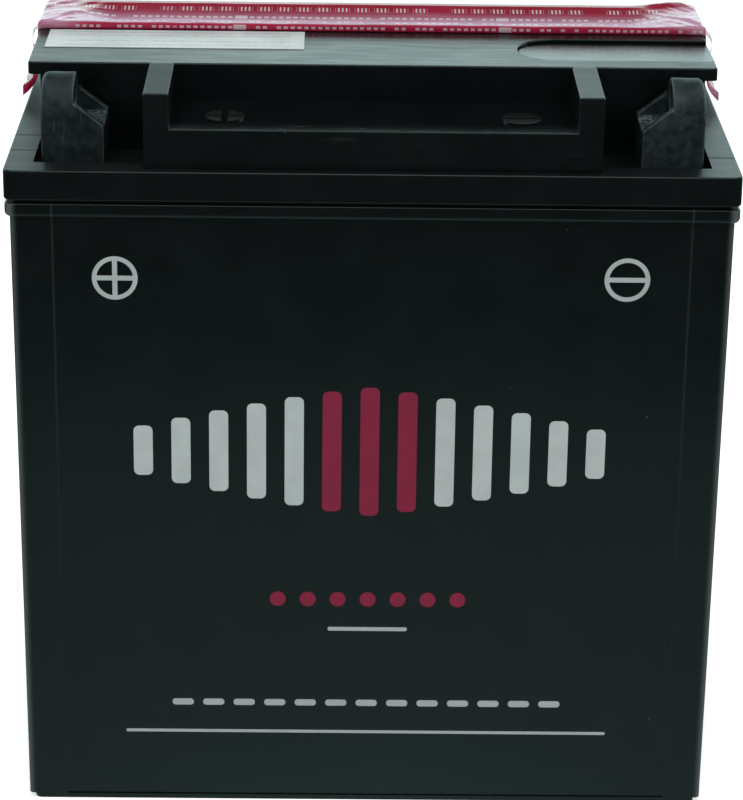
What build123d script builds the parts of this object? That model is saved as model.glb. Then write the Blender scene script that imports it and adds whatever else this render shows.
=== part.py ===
from build123d import *
from math import cos, radians, sin, tan
import os

# Sealed six-cell motorcycle battery, as it is shipped dry: case, cover, film over the filler
# wells, terminals, plates and straps. Millimetres. The origin is the centre of the footprint,
# +Z is up and the terminals are towards -Y.

# Overall size
LENGTH = 150.0
WIDTH = 87.0
HEIGHT = 161.0

# Case
WALL = 2.5
FLOOR = 2.5
PARTITION = 1.6
CELLS = 6
CASE_STEP = 1.05
CASE_DRAFT_DEG = 0.25
CASE_CORNER = 1.6
PLINTH_HEIGHT = 1.2
PLINTH_INSET = 0.2
PLINTH_END_INSET = 1.2
PANEL_MARGIN = 8.7
PANEL_DEPTH = 0.35
FLANGE_HEIGHT = 3.0
FLANGE_INSET = 0.1
FLANGE_EDGE = 0.95
SEAM_GAP = 0.65
SEAM_DEPTH = 1.2
RIB_HEIGHT = 2.5
RIB_WIDTH = 3.0
RIB_OFFSET = 20.0

# Cover rim and raised deck
COVER_WALL = 2.4
SKIRT_HEIGHT = 6.3
RIM_CORNER = 2.0
EDGE = 0.4
FILM_THICKNESS = 0.8
LIP_HEIGHT = 1.0
DECK_RISE = 15.7
DECK_THICKNESS = 2.65
DECK_CORNER = 1.0
DECK_END_INSET = 3.1
DECK_FRONT_SETBACK = 26.3
DECK_REAR_INSET = 7.3
BODY_END_INSET = 5.7
BODY_REAR_STEP = 1.0

# Ribs, ledge and terminal pockets at the front
BROW_SETBACK = 2.4
LEDGE_RISE = 8.3
BROW_RIB = 5.2
POCKET_LIP = 6.4
POCKET_LENGTH = 22.7
POCKET_DEPTH = 3.0
MARK_RADIUS = 4.1
MARK_HEIGHT = 0.3
MARK_GROOVE = 0.5
MARK_SLOT = 1.4
MARK_SETBACK = 12.0
MARK_INSET = 11.0

# Filler trough, with the film sealed on its lip
TROUGH_END_MARGIN = 5.9
TROUGH_REAR_MARGIN = 6.0
TROUGH_WIDTH = 17.2
TROUGH_DEPTH = 10.0
TROUGH_CORNER = 4.0
LIP_WIDTH = 2.0
LIP_END_WIDTH = 5.0
PORT_RADIUS = 5.0
PORT_WALL = 1.6
PORT_TUBE = 8.3
FILM_GAP = 0.2
FILM_FOLD = 0.4
FLAP_DROP = 15.0
FLAP_INSET = 1.5

# Gas outlet: recess with its cover plate, valve well and flame arrestor
RECESS_WIDTH = 17.4
RECESS_LENGTH = 41.1
RECESS_SHIFT = 0.3
RECESS_DEPTH = 0.8
RECESS_EDGE = 0.25
PLATE_THICKNESS = 1.6
PLATE_FRONT_DEPTH = 0.1
PLATE_GAP = 0.3
VALVE_INSET = 29.9
VALVE_WELL_RADIUS = 7.5
VALVE_WELL_DEPTH = 8.0
NIPPLE_RADIUS = 3.0
NIPPLE_BORE = 1.2
NIPPLE_HEIGHT = 5.0
VALVE_WALL = 1.6
VALVE_TOP = 1.4
VALVE_FIT = 0.05
VALVE_SKIRT = 4.4
ARRESTOR_INSET = 11.4
ARRESTOR_RADIUS = 5.0
ARRESTOR_THICKNESS = 2.2
ARRESTOR_FIT = 0.05
OUTLET_RADIUS = 1.2
OUTLET_CHAMBER = 3.5
OUTLET_DEPTH = 2.8
CHANNEL_WIDTH = 2.4
CHANNEL_DEPTH = 1.2
GALLERY_RADIUS = 1.0
GALLERY_DROP = 2.0

# Data label on the deck
LABEL_MARGIN = 2.4
LABEL_LENGTH = 54.9
LABEL_WIDTH = 14.6
LABEL_REAR_GAP = 1.5
LABEL_THICKNESS = 0.15

# Terminals, for an M6 bolt along X and its square nut
TERMINAL_END_GAP = 1.3
TERMINAL_WIDTH = 12.9
TERMINAL_SETBACK = 9.1
EAR_THICKNESS = 6.8
NUT_WIDTH = 10.0
NUT_CLEARANCE = 0.1
NUT_PLAY = 0.7
GUSSET = 1.9
SHELF_RISE = 6.3
GUSSET_LOW = 0.5
GUSSET_HIGH = 5.2
EAR_TOP_RISE = 15.9
EAR_CORNER = 1.5
BOLT_RADIUS = 3.25
SOCKET_DEPTH = 5.0

# Posts and seals
POST_RADIUS = 4.5
POST_HOLE_GAP = 0.3
SEAL_RING = 2.0
SEAL_THICKNESS = 1.6

# Plate stacks, straps and the welds between cells
POSITIVE_COUNT = 4
NEGATIVE_THICKNESS = 1.3
SEPARATOR_THICKNESS = 1.0
STACK_GAP = 0.25
MAT_GAP = 1.1
SEPARATOR_OVERLAP = 1.0
SEPARATOR_RISE = 2.5
LUG_WIDTH = 9.0
LUG_RISE = 8.0
STRAP_WIDTH = 13.0
STRAP_THICKNESS = 6.0
RISER_THICKNESS = 3.0
RISER_MARGIN = 1.5
HEADROOM = 3.2
WELD_RADIUS = 4.5
CAST_FIT = 0.02

# How near an edge or face has to be to a place to count as being there
TOUCH = 0.01

# Heights, down from the overall height
LIP_TOP = HEIGHT - FILM_THICKNESS
DECK_TOP = LIP_TOP - LIP_HEIGHT
DECK_UNDERSIDE = DECK_TOP - DECK_THICKNESS
RIM_TOP = DECK_TOP - DECK_RISE
SKIRT_BOTTOM = RIM_TOP - SKIRT_HEIGHT
FLANGE_TOP = SKIRT_BOTTOM - SEAM_GAP
FLANGE_BOTTOM = FLANGE_TOP - FLANGE_HEIGHT
LEDGE_TOP = RIM_TOP + LEDGE_RISE
POCKET_FLOOR = RIM_TOP - POCKET_DEPTH
TROUGH_FLOOR = DECK_TOP - TROUGH_DEPTH
CAVITY_TOP = TROUGH_FLOOR - COVER_WALL
RECESS_FLOOR = DECK_TOP - RECESS_DEPTH - PLATE_THICKNESS
WELL_FLOOR = RECESS_FLOOR - VALVE_WELL_DEPTH
NIPPLE_TOP = WELL_FLOOR + NIPPLE_HEIGHT
ARRESTOR_FLOOR = RECESS_FLOOR - ARRESTOR_THICKNESS
VALVE_OUTER = NIPPLE_RADIUS + VALVE_FIT + VALVE_WALL
SHELF = RIM_TOP + SHELF_RISE
EAR_TOP = RIM_TOP + EAR_TOP_RISE
BOLT_Z = SHELF + NUT_WIDTH / 2 + NUT_CLEARANCE

# Places in plan
FRONT = -WIDTH / 2
BODY_HALF = LENGTH / 2 - BODY_END_INSET
DECK_HALF = LENGTH / 2 - DECK_END_INSET
DECK_FRONT = FRONT + DECK_FRONT_SETBACK
DECK_REAR = WIDTH / 2 - DECK_REAR_INSET
BODY_REAR = DECK_REAR - BODY_REAR_STEP
BROW_FRONT = FRONT + BROW_SETBACK
RIB_OUTER = BODY_HALF - POCKET_LENGTH
LEDGE_HALF = RIB_OUTER - BROW_RIB
MARK_X = LEDGE_HALF - MARK_INSET
POCKET_FRONT = FRONT + POCKET_LIP
TROUGH_HALF = DECK_HALF - TROUGH_END_MARGIN
TROUGH_REAR = DECK_REAR - TROUGH_REAR_MARGIN
TROUGH_FRONT = TROUGH_REAR - TROUGH_WIDTH
PORT_Y = (TROUGH_FRONT + TROUGH_REAR) / 2
LIP_FRONT = TROUGH_FRONT - LIP_WIDTH
LIP_REAR = TROUGH_REAR + LIP_WIDTH
LIP_HALF = TROUGH_HALF + LIP_END_WIDTH
FILM_HALF = DECK_HALF + FILM_GAP + FILM_FOLD
RECESS_TIP_X = DECK_HALF - RECESS_LENGTH
GAS_Y = (DECK_FRONT + LIP_FRONT) / 2 + RECESS_SHIFT
VALVE_X = DECK_HALF - VALVE_INSET
ARRESTOR_X = DECK_HALF - ARRESTOR_INSET
LABEL_LEFT = LABEL_MARGIN - DECK_HALF

# Cells, inside the drafted walls at their narrowest
CASE_LENGTH = LENGTH - 2 * CASE_STEP
CASE_WIDTH = WIDTH - 2 * CASE_STEP
CASE_RISE = FLANGE_BOTTOM - PLINTH_HEIGHT
DRAFT_STEP = CASE_RISE * tan(radians(CASE_DRAFT_DEG))
INNER_HALF = CASE_LENGTH / 2 - DRAFT_STEP - WALL
INNER_Y = CASE_WIDTH / 2 - DRAFT_STEP - WALL
CELL_LENGTH = (2 * INNER_HALF - (CELLS - 1) * PARTITION) / CELLS
CELL_PITCH = CELL_LENGTH + PARTITION
CELL_X = [(cell - (CELLS - 1) / 2) * CELL_PITCH for cell in range(CELLS)]

# Plate stack of one cell, which fills the cell between its walls
STACK_LENGTH = CELL_LENGTH - 2 * STACK_GAP
STACK_STEP = (STACK_LENGTH - NEGATIVE_THICKNESS) / POSITIVE_COUNT
POSITIVE_THICKNESS = STACK_STEP - NEGATIVE_THICKNESS - 2 * SEPARATOR_THICKNESS
MAT_HALF = INNER_Y - MAT_GAP
PLATE_HALF = MAT_HALF - SEPARATOR_OVERLAP

# Heights in the cells: plates, straps, and risers welded together through the partitions
RIB_TOP = FLOOR + RIB_HEIGHT
RISER_TOP = SKIRT_BOTTOM - HEADROOM
WELD_Z = RISER_TOP - RISER_MARGIN - WELD_RADIUS
STRAP_TOP = WELD_Z - WELD_RADIUS
STRAP_BOTTOM = STRAP_TOP - STRAP_THICKNESS
PLATE_TOP = STRAP_BOTTOM - LUG_RISE

# Terminals and posts, and the rows of straps in line with them
TERMINAL_Y = DECK_FRONT - TERMINAL_SETBACK
TERMINAL_DEPTH = NUT_WIDTH + 2 * (NUT_PLAY + GUSSET)
TERMINAL_OUTER = BODY_HALF - TERMINAL_END_GAP
TERMINAL_INNER = TERMINAL_OUTER - TERMINAL_WIDTH
EAR_INNER = TERMINAL_OUTER - EAR_THICKNESS
POST_X = TERMINAL_OUTER - TERMINAL_WIDTH / 2
POST_TOP = POCKET_FLOOR + SOCKET_DEPTH
STRAP_Y = -TERMINAL_Y

UPRIGHT = (Align.CENTER, Align.CENTER, Align.MIN)


def block(low, high, mode=Mode.ADD):
    """A block between its lowest and highest corners."""
    low, high = Vector(*low), Vector(*high)
    with Locations((low + high) / 2):
        Box(*(high - low), mode=mode)


def mirrored_block(side, low, high, mode=Mode.ADD):
    """A block given on the +X side, put on the side asked for."""
    ends = sorted((side * low[0], side * high[0]))
    block((ends[0], *low[1:]), (ends[1], *high[1:]), mode)


def rounded_plate(size, corner, bottom, top, centre_y=0.0, mode=Mode.ADD):
    """A plate with rounded vertical corners between two heights."""
    with BuildSketch(Plane.XY.offset(bottom)) as outline:
        with Locations((0, centre_y)):
            RectangleRounded(*size, corner)
    extrude(outline.sketch, amount=top - bottom, mode=mode)


def upright(x, y, bottom, top, radius, mode=Mode.ADD):
    """A cylinder along Z between two heights."""
    with Locations((x, y, bottom)):
        Cylinder(radius, top - bottom, align=UPRIGHT, mode=mode)


def level(low_x, high_x, y, z, radius, mode=Mode.ADD):
    """A cylinder along X between two places."""
    with Locations(Location(((low_x + high_x) / 2, y, z), (0, 90, 0))):
        Cylinder(radius, high_x - low_x, mode=mode)


def positive_side(cell):
    """Where a cell's positive lugs are: -1 for the front, +1 for the rear."""
    return -1 if cell % 2 == 0 else 1


def wall_between(cell):
    """The X limits of the partition after a cell."""
    middle = CELL_X[cell] + CELL_PITCH / 2
    return middle - PARTITION / 2, middle + PARTITION / 2


def drafted_face(side):
    """The plane of the case's front (-1) or rear (+1) face, from the flange down."""
    lean = radians(CASE_DRAFT_DEG)
    return Plane(
        origin=(0, side * CASE_WIDTH / 2, FLANGE_BOTTOM),
        x_dir=(-side, 0, 0),
        z_dir=(0, side * cos(lean), -sin(lean)),
    )


def recess_outline(height, gap=0.0):
    """The oblong outline of the gas outlet's recess, which is open at the deck's end."""
    radius = RECESS_WIDTH / 2
    start = RECESS_TIP_X + radius
    with BuildSketch(Plane.XY.offset(height)) as outline:
        with Locations((start, GAS_Y)):
            Circle(radius - gap)
        with Locations(((start + DECK_HALF) / 2, GAS_Y)):
            Rectangle(DECK_HALF - start, 2 * (radius - gap))
    return outline.sketch


def recess_edges(solid):
    """The edges round the top of the gas outlet's recess, from the deck's end to its tip."""
    top = solid.edges().filter_by_position(Axis.Z, DECK_TOP - TOUCH, DECK_TOP + TOUCH)
    beside = top.filter_by_position(Axis.X, RECESS_TIP_X, DECK_HALF)
    reach = RECESS_WIDTH / 2 + TOUCH
    return beside.filter_by_position(Axis.Y, GAS_Y - reach, GAS_Y + reach)


# Case: drafted box with six cells, a flange and the land that the cover is welded to
with BuildPart() as case:
    flange_size = (LENGTH - 2 * FLANGE_INSET, WIDTH - 2 * FLANGE_INSET)
    rounded_plate(flange_size, RIM_CORNER, FLANGE_BOTTOM, FLANGE_TOP)
    fillet(case.edges().group_by(Axis.Z)[0], radius=FLANGE_EDGE)
    fillet(case.edges().group_by(Axis.Z)[-1], radius=EDGE)
    with BuildSketch(Plane.XY.offset(FLANGE_BOTTOM)):
        RectangleRounded(CASE_LENGTH, CASE_WIDTH, CASE_CORNER)
    extrude(amount=-CASE_RISE, taper=CASE_DRAFT_DEG)
    foot_length = CASE_LENGTH - 2 * (DRAFT_STEP + PLINTH_END_INSET)
    foot_width = CASE_WIDTH - 2 * (DRAFT_STEP + PLINTH_INSET)
    rounded_plate((foot_length, foot_width), CASE_CORNER, 0, PLINTH_HEIGHT)
    land = (LENGTH - 2 * SEAM_DEPTH, WIDTH - 2 * SEAM_DEPTH)
    rounded_plate(land, RIM_CORNER, FLANGE_TOP, SKIRT_BOTTOM)
    for side in (-1, 1):
        with BuildSketch(drafted_face(side).offset(-PANEL_DEPTH)):
            with Locations((0, -CASE_RISE / 2)):
                Rectangle(CASE_LENGTH - 2 * PANEL_MARGIN, CASE_RISE)
        extrude(amount=2 * PANEL_DEPTH, mode=Mode.SUBTRACT)
    for x in CELL_X:
        low_x, high_x = x - CELL_LENGTH / 2, x + CELL_LENGTH / 2
        block((low_x, -INNER_Y, FLOOR), (high_x, INNER_Y, SKIRT_BOTTOM), Mode.SUBTRACT)
        for y in (-RIB_OFFSET, RIB_OFFSET):
            block((low_x, y - RIB_WIDTH / 2, FLOOR), (high_x, y + RIB_WIDTH / 2, RIB_TOP))
    for cell in range(CELLS - 1):
        y = positive_side(cell + 1) * STRAP_Y
        level(*wall_between(cell), y, WELD_Z, WELD_RADIUS + CAST_FIT, Mode.SUBTRACT)


# Cover: rim, raised deck, ribs and ledge
with BuildPart() as cover:
    rounded_plate((LENGTH, WIDTH), RIM_CORNER, SKIRT_BOTTOM, RIM_TOP)
    fillet(cover.edges().group_by(Axis.Z)[0], radius=EDGE)
    fillet(cover.edges().group_by(Axis.Z)[-1], radius=EDGE)
    block((-BODY_HALF, DECK_FRONT, RIM_TOP), (BODY_HALF, BODY_REAR, DECK_UNDERSIDE))
    deck_size = (2 * DECK_HALF, DECK_REAR - DECK_FRONT)
    deck_y = (DECK_FRONT + DECK_REAR) / 2
    rounded_plate(deck_size, DECK_CORNER, DECK_UNDERSIDE, DECK_TOP, deck_y)
    block((-LEDGE_HALF, BROW_FRONT, RIM_TOP), (LEDGE_HALF, DECK_FRONT, LEDGE_TOP))
    for side in (-1, 1):
        rib_low = (LEDGE_HALF, BROW_FRONT, RIM_TOP)
        mirrored_block(side, rib_low, (RIB_OUTER, DECK_FRONT, DECK_TOP))
    top_face = cover.faces().sort_by(Axis.Z)[-1]
    brow_face = cover.faces().filter_by(Axis.Y).filter_by_position(
        Axis.Y, BROW_FRONT - TOUCH, BROW_FRONT + TOUCH
    )[0]
    brow_edges = brow_face.edges().sort_by(Axis.Z)[1:]
    top_edges = top_face.outer_wire().edges().filter_by(Axis.Z, reverse=True)
    fillet(brow_edges + top_edges, radius=EDGE)

    # Terminal pockets, with the holes for the posts and their seals
    for side in (-1, 1):
        pocket_low = (RIB_OUTER, POCKET_FRONT, POCKET_FLOOR)
        mirrored_block(side, pocket_low, (BODY_HALF, DECK_FRONT, RIM_TOP), Mode.SUBTRACT)
        post_x = side * POST_X
        hole = POST_RADIUS + POST_HOLE_GAP
        upright(post_x, TERMINAL_Y, SKIRT_BOTTOM, POCKET_FLOOR, hole, Mode.SUBTRACT)
        seat = POST_RADIUS + SEAL_RING + CAST_FIT
        seal_top = SKIRT_BOTTOM + SEAL_THICKNESS
        upright(post_x, TERMINAL_Y, SKIRT_BOTTOM, seal_top, seat, Mode.SUBTRACT)

    # Polarity marks on the ledge: a disc with a cross groove, and one with a single groove
    mark_y = FRONT + MARK_SETBACK
    mark_top = LEDGE_TOP + MARK_HEIGHT
    for x in (-MARK_X, MARK_X):
        upright(x, mark_y, LEDGE_TOP, mark_top, MARK_RADIUS)
        groove_low = (x - MARK_RADIUS, mark_y - MARK_GROOVE / 2, LEDGE_TOP)
        groove_high = (x + MARK_RADIUS, mark_y + MARK_GROOVE / 2, mark_top)
        block(groove_low, groove_high, Mode.SUBTRACT)
    slot_low = (-MARK_X - MARK_SLOT / 2, mark_y - MARK_RADIUS, LEDGE_TOP)
    slot_high = (-MARK_X + MARK_SLOT / 2, mark_y + MARK_RADIUS, mark_top)
    block(slot_low, slot_high, Mode.SUBTRACT)

    # Hollows over the cells
    for x in CELL_X:
        low_x = max(x - CELL_LENGTH / 2, COVER_WALL - BODY_HALF)
        high_x = min(x + CELL_LENGTH / 2, BODY_HALF - COVER_WALL)
        low = (low_x, DECK_FRONT + COVER_WALL, SKIRT_BOTTOM)
        block(low, (high_x, BODY_REAR - COVER_WALL, CAVITY_TOP), Mode.SUBTRACT)
        if high_x < RECESS_TIP_X:
            front_high = (high_x, TROUGH_FRONT - COVER_WALL, DECK_UNDERSIDE)
            block(low, front_high, Mode.SUBTRACT)
        ledge_low_x = max(low_x, COVER_WALL - LEDGE_HALF)
        ledge_high_x = min(high_x, LEDGE_HALF - COVER_WALL)
        if ledge_low_x < ledge_high_x:
            ledge_low = (ledge_low_x, -INNER_Y, SKIRT_BOTTOM)
            ledge_high = (ledge_high_x, DECK_FRONT + COVER_WALL, LEDGE_TOP - COVER_WALL)
            block(ledge_low, ledge_high, Mode.SUBTRACT)

    # Filler trough with its lip, and a port and tube into each cell
    lip_size = (2 * LIP_HALF, LIP_REAR - LIP_FRONT)
    rounded_plate(lip_size, TROUGH_CORNER, DECK_TOP, LIP_TOP, PORT_Y)
    trough_size = (2 * TROUGH_HALF, TROUGH_WIDTH)
    rounded_plate(trough_size, TROUGH_CORNER, TROUGH_FLOOR, LIP_TOP, PORT_Y, Mode.SUBTRACT)
    for x in CELL_X:
        upright(x, PORT_Y, CAVITY_TOP - PORT_TUBE, CAVITY_TOP, PORT_RADIUS + PORT_WALL)
        upright(x, PORT_Y, CAVITY_TOP - PORT_TUBE, TROUGH_FLOOR, PORT_RADIUS, Mode.SUBTRACT)

    # Gas path: gallery between the cells, valve well and nipple, arrestor seat and outlet
    gallery_z = CAVITY_TOP - GALLERY_DROP
    level(CELL_X[0], CELL_X[-1], GAS_Y, gallery_z, GALLERY_RADIUS, Mode.SUBTRACT)
    extrude(recess_outline(RECESS_FLOOR), amount=DECK_TOP - RECESS_FLOOR, mode=Mode.SUBTRACT)
    fillet(recess_edges(cover), radius=RECESS_EDGE)
    upright(VALVE_X, GAS_Y, WELL_FLOOR, RECESS_FLOOR, VALVE_WELL_RADIUS, Mode.SUBTRACT)
    upright(VALVE_X, GAS_Y, WELL_FLOOR, NIPPLE_TOP, NIPPLE_RADIUS)
    upright(VALVE_X, GAS_Y, CAVITY_TOP, NIPPLE_TOP, NIPPLE_BORE, Mode.SUBTRACT)
    channel_low = (VALVE_X + VALVE_OUTER, GAS_Y - CHANNEL_WIDTH / 2, RECESS_FLOOR - CHANNEL_DEPTH)
    channel_high = (ARRESTOR_X, GAS_Y + CHANNEL_WIDTH / 2, RECESS_FLOOR)
    block(channel_low, channel_high, Mode.SUBTRACT)
    upright(ARRESTOR_X, GAS_Y, ARRESTOR_FLOOR, RECESS_FLOOR, ARRESTOR_RADIUS, Mode.SUBTRACT)
    outlet_floor = ARRESTOR_FLOOR - OUTLET_DEPTH
    upright(ARRESTOR_X, GAS_Y, outlet_floor, ARRESTOR_FLOOR, OUTLET_CHAMBER, Mode.SUBTRACT)
    outlet_z = outlet_floor + OUTLET_DEPTH / 2
    level(ARRESTOR_X, BODY_HALF, GAS_Y, outlet_z, OUTLET_RADIUS, Mode.SUBTRACT)


# Cover plate of the gas outlet's recess, which slopes down from the deck towards the film
with BuildPart() as vent_cover_plate:
    extrude(recess_outline(RECESS_FLOOR, PLATE_GAP), amount=DECK_TOP - RECESS_FLOOR)
    fall = RECESS_DEPTH - PLATE_FRONT_DEPTH
    plate_front = (0, GAS_Y - RECESS_WIDTH / 2, DECK_TOP - PLATE_FRONT_DEPTH)
    split(bisect_by=Plane(plate_front, (1, 0, 0), (0, fall, RECESS_WIDTH)), keep=Keep.BOTTOM)


# Rubber relief valve, a cap over the nipple
with BuildPart() as relief_valve:
    skirt_bottom = NIPPLE_TOP - VALVE_SKIRT
    upright(VALVE_X, GAS_Y, skirt_bottom, NIPPLE_TOP + VALVE_TOP, VALVE_OUTER)
    bore = NIPPLE_RADIUS + VALVE_FIT
    upright(VALVE_X, GAS_Y, skirt_bottom, NIPPLE_TOP, bore, Mode.SUBTRACT)


# Porous disc of the flame arrestor
with BuildPart() as flame_arrestor:
    disc = ARRESTOR_RADIUS - ARRESTOR_FIT
    upright(ARRESTOR_X, GAS_Y, ARRESTOR_FLOOR, RECESS_FLOOR, disc)


# Film sealed on the trough's lip, folded down in front and at the deck's ends
with BuildPart() as sealing_film:
    fold_front = LIP_FRONT - FILM_GAP - FILM_FOLD
    block((-FILM_HALF, fold_front, LIP_TOP), (FILM_HALF, LIP_REAR, HEIGHT))
    fold_low = (-LIP_HALF, fold_front, DECK_TOP + FILM_GAP)
    block(fold_low, (LIP_HALF, LIP_FRONT - FILM_GAP, LIP_TOP))
    for side in (-1, 1):
        flap_low = (DECK_HALF + FILM_GAP, LIP_FRONT + FLAP_INSET, HEIGHT - FLAP_DROP)
        mirrored_block(side, flap_low, (FILM_HALF, LIP_REAR - FLAP_INSET, LIP_TOP))


# Blank data label
with BuildPart() as data_label:
    label_rear = LIP_FRONT - LABEL_REAR_GAP
    label_low = (LABEL_LEFT, label_rear - LABEL_WIDTH, DECK_TOP)
    block(label_low, (LABEL_LEFT + LABEL_LENGTH, label_rear, DECK_TOP + LABEL_THICKNESS))


# Terminals: cast lead block with a bored ear and a nut seat between two gussets
with BuildPart() as terminal_negative:
    front_y = TERMINAL_Y - TERMINAL_DEPTH / 2
    rear_y = TERMINAL_Y + TERMINAL_DEPTH / 2
    block((TERMINAL_INNER, front_y, POCKET_FLOOR), (TERMINAL_OUTER, rear_y, SHELF))
    arch_z = EAR_TOP - TERMINAL_DEPTH / 2
    with BuildSketch(Plane.YZ.offset(EAR_INNER)):
        with Locations((TERMINAL_Y, arch_z)):
            Circle(TERMINAL_DEPTH / 2)
        with Locations((TERMINAL_Y, (SHELF + arch_z) / 2)):
            Rectangle(TERMINAL_DEPTH, arch_z - SHELF)
    extrude(amount=EAR_THICKNESS)
    outer_edges = terminal_negative.faces().sort_by(Axis.X)[-1].outer_wire().edges()
    fillet(outer_edges.sort_by(Axis.Z)[1:], radius=EAR_CORNER)
    for gusset_y in (front_y, rear_y - GUSSET):
        with BuildSketch(Plane.XZ.offset(-gusset_y - GUSSET)):
            with BuildLine():
                Polyline(
                    (TERMINAL_INNER, SHELF),
                    (TERMINAL_INNER, SHELF + GUSSET_LOW),
                    (EAR_INNER, SHELF + GUSSET_HIGH),
                    (EAR_INNER, SHELF),
                    close=True,
                )
            make_face()
        extrude(amount=GUSSET)
    level(EAR_INNER, TERMINAL_OUTER, TERMINAL_Y, BOLT_Z, BOLT_RADIUS, Mode.SUBTRACT)
    socket = POST_RADIUS + CAST_FIT
    upright(POST_X, TERMINAL_Y, POCKET_FLOOR, POST_TOP, socket, Mode.SUBTRACT)


with BuildPart() as terminal_positive:
    mirror(terminal_negative.part, about=Plane.YZ)


# Posts from the end cells' straps up into the terminals, each with a collar under its seal
with BuildPart() as negative_post:
    upright(POST_X, TERMINAL_Y, STRAP_TOP, SKIRT_BOTTOM, POST_RADIUS + SEAL_RING)
    upright(POST_X, TERMINAL_Y, SKIRT_BOTTOM, POST_TOP, POST_RADIUS)


with BuildPart() as positive_post:
    mirror(negative_post.part, about=Plane.YZ)


# Rubber seals round the posts, in seats under the cover
with BuildPart() as negative_post_seal:
    seal_top = SKIRT_BOTTOM + SEAL_THICKNESS
    upright(POST_X, TERMINAL_Y, SKIRT_BOTTOM, seal_top, POST_RADIUS + SEAL_RING)
    seal_bore = POST_RADIUS + CAST_FIT
    upright(POST_X, TERMINAL_Y, SKIRT_BOTTOM, seal_top, seal_bore, Mode.SUBTRACT)


with BuildPart() as positive_post_seal:
    mirror(negative_post_seal.part, about=Plane.YZ)


def first_negative_x(cell):
    """Where a cell's stack of plates starts."""
    return CELL_X[cell] - STACK_LENGTH / 2


def first_positive_x(cell):
    """The low face of a cell's first positive plate."""
    return first_negative_x(cell) + NEGATIVE_THICKNESS + SEPARATOR_THICKNESS


def plate_group(first_x, count, thickness, bottom, side):
    """One cell's plates of one polarity, each with its lug."""
    with BuildPart() as plates:
        for number in range(count):
            low_x = first_x + number * STACK_STEP
            high_x = low_x + thickness
            block((low_x, -PLATE_HALF, bottom), (high_x, PLATE_HALF, PLATE_TOP))
            lug_y = side * STRAP_Y
            lug_low = (low_x, lug_y - LUG_WIDTH / 2, PLATE_TOP)
            block(lug_low, (high_x, lug_y + LUG_WIDTH / 2, STRAP_BOTTOM))
    return plates


def separator_group(cell):
    """The glass mats of one cell, each folded under and up both sides of a positive plate."""
    top = PLATE_TOP + SEPARATOR_RISE
    with BuildPart() as mats:
        for number in range(POSITIVE_COUNT):
            low_x = first_positive_x(cell) + number * STACK_STEP
            high_x = low_x + POSITIVE_THICKNESS
            mat_low = (low_x - SEPARATOR_THICKNESS, -MAT_HALF, RIB_TOP)
            block(mat_low, (high_x + SEPARATOR_THICKNESS, MAT_HALF, top))
            plate_low = (low_x, -MAT_HALF, RIB_TOP + SEPARATOR_THICKNESS)
            block(plate_low, (high_x, MAT_HALF, top), Mode.SUBTRACT)
    return mats


def strap(low_x, high_x, side, riser_x=None):
    """A lead bar over a row of lugs, with a riser where it meets a partition."""
    low_y = side * STRAP_Y - STRAP_WIDTH / 2
    high_y = side * STRAP_Y + STRAP_WIDTH / 2
    with BuildPart() as bar:
        block((low_x, low_y, STRAP_BOTTOM), (high_x, high_y, STRAP_TOP))
        if riser_x is not None:
            block((riser_x, low_y, STRAP_BOTTOM), (riser_x + RISER_THICKNESS, high_y, RISER_TOP))
    return bar


def positive_strap(cell):
    """The strap over a cell's positive lugs, welded through the partition before the cell."""
    low_x = first_positive_x(cell)
    high_x = low_x + (POSITIVE_COUNT - 1) * STACK_STEP + POSITIVE_THICKNESS
    if cell == 0:
        return strap(low_x, high_x, positive_side(cell))
    wall_x = wall_between(cell - 1)[1]
    return strap(wall_x, high_x, positive_side(cell), wall_x)


def negative_strap(cell):
    """The strap over a cell's negative lugs, welded through the partition after the cell."""
    low_x = first_negative_x(cell)
    if cell == CELLS - 1:
        return strap(low_x, low_x + STACK_LENGTH, -positive_side(cell))
    wall_x = wall_between(cell)[0]
    return strap(low_x, wall_x, -positive_side(cell), wall_x - RISER_THICKNESS)


# Welds that join neighbouring cells' straps through the partitions
with BuildPart() as intercell_welds:
    for cell in range(CELLS - 1):
        y = positive_side(cell + 1) * STRAP_Y
        level(*wall_between(cell), y, WELD_Z, WELD_RADIUS)


pieces = {
    "case": case,
    "cover": cover,
    "vent_cover_plate": vent_cover_plate,
    "relief_valve": relief_valve,
    "flame_arrestor": flame_arrestor,
    "sealing_film": sealing_film,
    "data_label": data_label,
    "terminal_positive": terminal_positive,
    "terminal_negative": terminal_negative,
    "positive_post": positive_post,
    "negative_post": negative_post,
    "positive_post_seal": positive_post_seal,
    "negative_post_seal": negative_post_seal,
    "intercell_welds": intercell_welds,
}
for cell in range(CELLS):
    name = f"cell_{cell + 1}"
    side = positive_side(cell)
    positive_bottom = RIB_TOP + SEPARATOR_THICKNESS
    pieces[f"{name}_positive_plates"] = plate_group(
        first_positive_x(cell), POSITIVE_COUNT, POSITIVE_THICKNESS, positive_bottom, side
    )
    pieces[f"{name}_negative_plates"] = plate_group(
        first_negative_x(cell), POSITIVE_COUNT + 1, NEGATIVE_THICKNESS, RIB_TOP, -side
    )
    pieces[f"{name}_separators"] = separator_group(cell)
    pieces[f"{name}_positive_strap"] = positive_strap(cell)
    pieces[f"{name}_negative_strap"] = negative_strap(cell)

os.makedirs("parts", exist_ok=True)
for name, piece in pieces.items():
    piece.part.label = name
    export_step(piece.part, f"parts/{name}.step")
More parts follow.
